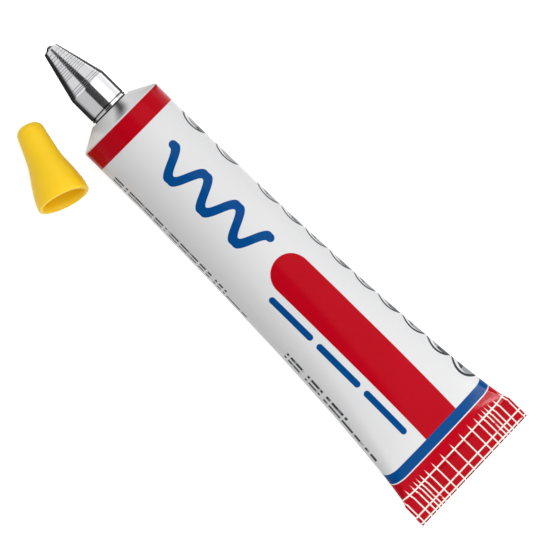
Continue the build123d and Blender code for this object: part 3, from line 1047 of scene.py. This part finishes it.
def ring_piece(name, tree, sockets, rings):
    """Rings of one row on the cone, as a plain mesh in place."""
    slope = (COLLAR_RADIUS - NOSE_RADIUS) / CONE_LENGTH
    carrier = new_object(name + "_row", bpy.data.meshes.new(name + "_row"))
    row = carrier.modifiers.new("rings", "NODES")
    row.node_group = tree
    for title, value in (("Count", rings["count"]), ("First Place", NOSE_X + rings["place"]),
                         ("Pitch", rings["pitch"]),
                         ("First Radius", NOSE_RADIUS + slope * rings["place"] - RING_SINK),
                         ("Slope", slope), ("Wire Radius", RING_WIRE), ("Shift", RING_SHIFT),
                         ("Seed", RING_SEED)):
        row[sockets[title]] = value
    bpy.context.view_layer.update()
    view = bpy.context.evaluated_depsgraph_get()
    mesh = bpy.data.meshes.new_from_object(carrier.evaluated_get(view))
    bpy.data.objects.remove(carrier)
    mesh.name = name
    mesh.transform(MARKER_PLACE)
    shell = bmesh.new()
    shell.from_mesh(mesh)
    bmesh.ops.remove_doubles(shell, verts=shell.verts, dist=WELD_DISTANCE)
    bmesh.ops.recalc_face_normals(shell, faces=shell.faces)
    shell.to_mesh(mesh)
    shell.free()
    mesh.shade_smooth()
    return new_object(name, mesh)


def flare(x):
    """Outer radius of the cap at a place along its flare, by a smooth curve through its shares."""
    knots = [(CAP_TIP_ROUND, CAP_TIP_RADIUS)]
    knots += [(CAP_LENGTH * along, CAP_MOUTH_RADIUS * out) for along, out in CAP_FLARE_SHARES]
    knots.append((CAP_LENGTH - CAP_LIP_ROUND, CAP_MOUTH_RADIUS))
    slopes = []
    for index in range(len(knots)):
        before, after = knots[max(index - 1, 0)], knots[min(index + 1, len(knots) - 1)]
        slopes.append((after[1] - before[1]) / (after[0] - before[0]))
    for index in range(len(knots) - 1):
        (x0, r0), (x1, r1) = knots[index], knots[index + 1]
        if x <= x1 or index == len(knots) - 2:
            run = x1 - x0
            t = (x - x0) / run
            return ((2 * t ** 3 - 3 * t ** 2 + 1) * r0 + (t ** 3 - 2 * t ** 2 + t) * run * slopes[index]
                    + (3 * t ** 2 - 2 * t ** 3) * r1 + (t ** 3 - t ** 2) * run * slopes[index + 1])


def cap_piece(material):
    """Push-on cap: domed tip, flare, rolled lip and the hollow that fits the nozzle."""
    outline = [(0, 0)]
    for step in range(2 * ARC_STEPS + 1):
        angle = math.pi / 2 * step / (2 * ARC_STEPS)
        outline.append((CAP_TIP_ROUND * (1 - math.cos(angle)),
                        CAP_TIP_RADIUS - CAP_TIP_ROUND + CAP_TIP_ROUND * math.sin(angle)))
    end = CAP_LENGTH - CAP_LIP_ROUND
    for step in range(1, FLARE_STEPS + 1):
        x = CAP_TIP_ROUND + (end - CAP_TIP_ROUND) * step / FLARE_STEPS
        outline.append((x, flare(x)))
    for step in range(1, ARC_STEPS + 1):
        angle = math.pi / 2 * step / ARC_STEPS
        outline.append((end + CAP_LIP_ROUND * math.sin(angle),
                        CAP_MOUTH_RADIUS - CAP_LIP_ROUND * (1 - math.cos(angle))))
    inside = eased([
        (CAP_LENGTH, CAP_MOUTH_RADIUS - CAP_LIP_ROUND, 0),
        (CAP_LENGTH, CAP_LEAD_RADIUS, EDGE_ROUND),
        (CAP_LEAD_X, CAP_SEAT_RADIUS, CAP_INNER_ROUND),
        (CAP_SEAT_X, CAP_SEAT_RADIUS, CAP_INNER_ROUND),
        (CAP_CONE_X, CAP_CONE_RADIUS, CAP_INNER_ROUND),
        (CAP_TIP_WALL, CAP_POCKET_RADIUS, EDGE_ROUND),
        (CAP_TIP_WALL, 0, 0),
    ])[1:]
    points, faces = lathed(outline + inside)
    return piece("cap", points, faces, CAP_PLACE, material)


def dress(node, material):
    """Gives a CAD node that stays its own material."""
    slots = frame["nodes"][node].data.materials
    slots.clear()
    slots.append(material)


# Stage

def flat_corners(x_reach, y_reach, height):
    """Corners of a level rectangle, from its near start round to its far start."""
    (x0, x1), (y0, y1) = x_reach, y_reach
    return [(x0, y0, height), (x1, y0, height), (x1, y1, height), (x0, y1, height)]


def beside_axis(places):
    """Places across, measured from the marker's axis."""
    return tuple(AXIS_Y + place for place in places)


def floor_material():
    """White floor that keeps the object's shadow and shows white to the camera and in gloss."""
    material, tree, shader = new_material("floor_white")
    tree.nodes.remove(shader)
    matte = tree.nodes.new("ShaderNodeBsdfDiffuse")
    clouds = speckle(tree, object_place(tree), FLOOR_CLOUD_SCALE)
    put(tree, matte.inputs["Color"], clouded(tree, clouds, FLOOR_WHITE, FLOOR_CLOUD))
    glow = tree.nodes.new("ShaderNodeEmission")
    put(tree, glow.inputs["Strength"], maths(tree, "MULTIPLY", seen_rays(tree), FLOOR_GLOW))
    both = tree.nodes.new("ShaderNodeAddShader")
    tree.links.new(matte.outputs[0], both.inputs[0])
    tree.links.new(glow.outputs[0], both.inputs[1])
    tree.links.new(both.outputs[0], tree.nodes["Material Output"].inputs["Surface"])
    return material


def lay_floor():
    """Plain floor just below the object."""
    reach = (-FLOOR_SIDE / 2, FLOOR_SIDE / 2)
    mesh = bpy.data.meshes.new("floor")
    mesh.from_pydata(flat_corners(reach, reach, -FLOOR_DROP), [], [(0, 1, 2, 3)])
    mesh.materials.append(floor_material())
    floor = new_object("floor", mesh)


def light_world():
    """Even world that shows white to the camera and in gloss."""
    world = bpy.data.worlds.new("studio")
    world.use_nodes = True
    tree = world.node_tree
    sky = tree.nodes["Background"]
    sky.inputs["Color"].default_value = (1, 1, 1, 1)
    level = maths(tree, "MULTIPLY_ADD", seen_rays(tree), 1 - WORLD_LEVEL, WORLD_LEVEL)
    put(tree, sky.inputs["Strength"], level)
    bpy.context.scene.world = world


def soft_box(name, place, turn, length, width, level):
    """Rectangular lamp of an even level."""
    lamp = bpy.data.lights.new(name, "AREA")
    lamp.shape = "RECTANGLE"
    lamp.size = length
    lamp.size_y = width
    lamp.energy = level * math.pi * length * width
    box = new_object(name, lamp)
    box.location = place
    box.rotation_euler = turn
    return box


def tail_turn(place):
    """Turn of a lamp that looks from its place to the marker's tail."""
    return (Vector(place) - Vector(TAIL_AIM)).to_track_quat("Z", "Y").to_euler()


def hang_lamps():
    """Wide box overhead, a low one behind the tail, and a strip that only gloss shows."""
    angle = math.radians(KEY_ANGLE)
    above = (KEY_X, KEY_DISTANCE * math.sin(angle), KEY_DISTANCE * math.cos(angle))
    soft_box("key_box", above, (-angle, 0, 0), KEY_LENGTH, KEY_WIDTH, KEY_LEVEL)
    soft_box("rear_box", REAR_BOX_PLACE, tail_turn(REAR_BOX_PLACE),
             REAR_BOX_SIDE, REAR_BOX_SIDE, REAR_BOX_LEVEL)
    gloss = soft_box("gloss_box", GLOSS_BOX_PLACE, tail_turn(GLOSS_BOX_PLACE),
                     GLOSS_BOX_LENGTH, GLOSS_BOX_WIDTH, GLOSS_BOX_LEVEL)
    gloss.visible_diffuse = False


def card_material(name, levels, ramp_shares, fades):
    """Glow that goes from one level to another across a card and thins out at its edges."""
    material, tree, shader = new_material(name)
    tree.nodes.remove(shader)
    across = parted(tree, chart_place(tree, "card"))["Y"]
    rise = ramp(tree, across, *ramp_shares)
    glow = tree.nodes.new("ShaderNodeEmission")
    level = maths(tree, "MULTIPLY_ADD", rise, levels[1] - levels[0], levels[0])
    put(tree, glow.inputs["Strength"], level)
    clear = tree.nodes.new("ShaderNodeBsdfTransparent")
    cover = maths(tree, "MULTIPLY", ramp(tree, across, -CARD_EDGE, fades[0]),
                  ramp(tree, across, 1 + CARD_EDGE, 1 - fades[1]))
    both = tree.nodes.new("ShaderNodeMixShader")
    put(tree, both.inputs[0], cover)
    tree.links.new(clear.outputs[0], both.inputs[1])
    tree.links.new(glow.outputs[0], both.inputs[2])
    tree.links.new(both.outputs[0], tree.nodes["Material Output"].inputs["Surface"])
    return material


def card(name, corners, levels, ramp_shares=WHOLE_RAMP, fades=NO_FADES):
    """Flat grey card that only gloss shows."""
    mesh = bpy.data.meshes.new(name)
    mesh.from_pydata(corners, [], [range(len(corners))])
    layer = mesh.uv_layers.new(name="card")
    for loop, spot in zip(layer.data, ((0, 0), (1, 0), (1, 1), (0, 1))):
        loop.uv = spot
    mesh.materials.append(card_material(name, levels, ramp_shares, fades))
    made = new_object(name, mesh)
    made.visible_camera = False
    made.visible_diffuse = False
    made.visible_transmission = False
    made.visible_shadow = False


def set_cards():
    """Cards that the polished nozzle reflects: overhead, on the floor and upright on its left."""
    (x0, *nose_reach), (x1, *tail_reach) = OVERHEAD_NOSE, OVERHEAD_TAIL
    (low0, high0), (low1, high1) = beside_axis(nose_reach), beside_axis(tail_reach)
    corners = ((x0, low0), (x1, low1), (x1, high1), (x0, high0))
    card("overhead_card", [(x, y, OVERHEAD_HEIGHT) for x, y in corners], OVERHEAD_LEVELS,
         fades=OVERHEAD_FADES)
    card("right_card", flat_corners(NEAR_X, beside_axis(RIGHT_CARD_Y), FLOOR_CARD_HEIGHT), RIGHT_LEVELS,
         fades=RIGHT_FADES)
    card("under_card", flat_corners(NEAR_X, beside_axis(UNDER_CARD_Y), FLOOR_CARD_HEIGHT), UNDER_LEVELS)
    side, foot = AXIS_Y + LEFT_CARD_Y, FLOOR_CARD_HEIGHT
    for name, start, end, top, levels in (
            ("cone_card", NEAR_X[0], COLLAR_SPLIT_X, CONE_CARD_TOP, CONE_LEVELS),
            ("collar_card", COLLAR_SPLIT_X, NEAR_X[1], COLLAR_CARD_TOP, COLLAR_LEVELS)):
        corners = [(start, side, foot), (end, side, foot), (end, side, top), (start, side, top)]
        card(name, corners, levels, LEFT_RAMP)


def take_camera():
    """Camera whose roll, scale and aim put the ball's front and the tail's end on their pixels."""
    tilt = math.radians(VIEW_ELEVATION)
    back = Vector((0, -math.cos(tilt), math.sin(tilt)))
    across = Vector((1, 0, 0))
    upward = back.cross(across)
    nose = MARKER_PLACE @ Vector((BALL_X - BALL_RADIUS, 0, 0))
    tail = MARKER_PLACE @ Vector((BARREL_LENGTH, 0, 0))

    def flat(point):
        return complex(point.dot(across), point.dot(upward))

    def seen(pixel):
        return complex(pixel[0] - IMAGE_SIDE / 2, IMAGE_SIDE / 2 - pixel[1])

    zoom = (seen(TAIL_PIXEL) - seen(NOSE_PIXEL)) / (flat(tail) - flat(nose))
    centre = flat(nose) - seen(NOSE_PIXEL) / zoom
    scale = abs(zoom)
    turn = zoom / scale
    right = across * turn.real - upward * turn.imag
    up = across * turn.imag + upward * turn.real
    depth = back.dot((nose + tail) / 2)
    target = across * centre.real + upward * centre.imag + back * depth
    data = bpy.data.cameras.new("camera")
    data.sensor_width = SENSOR
    data.lens = SENSOR * VIEW_DISTANCE * scale / IMAGE_SIDE
    data.clip_end = 2 * FLOOR_SIDE
    camera = new_object("camera", data)
    look = Matrix((right, up, back)).transposed().to_4x4()
    camera.matrix_world = Matrix.Translation(target + back * VIEW_DISTANCE) @ look
    bpy.context.scene.camera = camera


bpy.context.scene.view_settings.view_transform = "Standard"
lay_floor()
light_world()
hang_lamps()
set_cards()
take_camera()

tube = tube_piece(tube_material())
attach(tube, "marker")
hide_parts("tube")

nozzle = nozzle_piece(nozzle_material())
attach(nozzle, "marker")
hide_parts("nozzle")

rings_tree, ring_sockets = ring_tree(grained("turned_ring_shade"))
for rings_name, rings in (("tip_rings", TIP_RINGS), ("nose_rings", NOSE_RINGS), ("rear_rings", REAR_RINGS)):
    turned = ring_piece(rings_name, rings_tree, ring_sockets, rings)
    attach(turned, "marker")

cap = cap_piece(cap_material())
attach(cap, "cap")
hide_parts("cap")

for node, look in DRESSED.items():
    dress(node, grained(look))
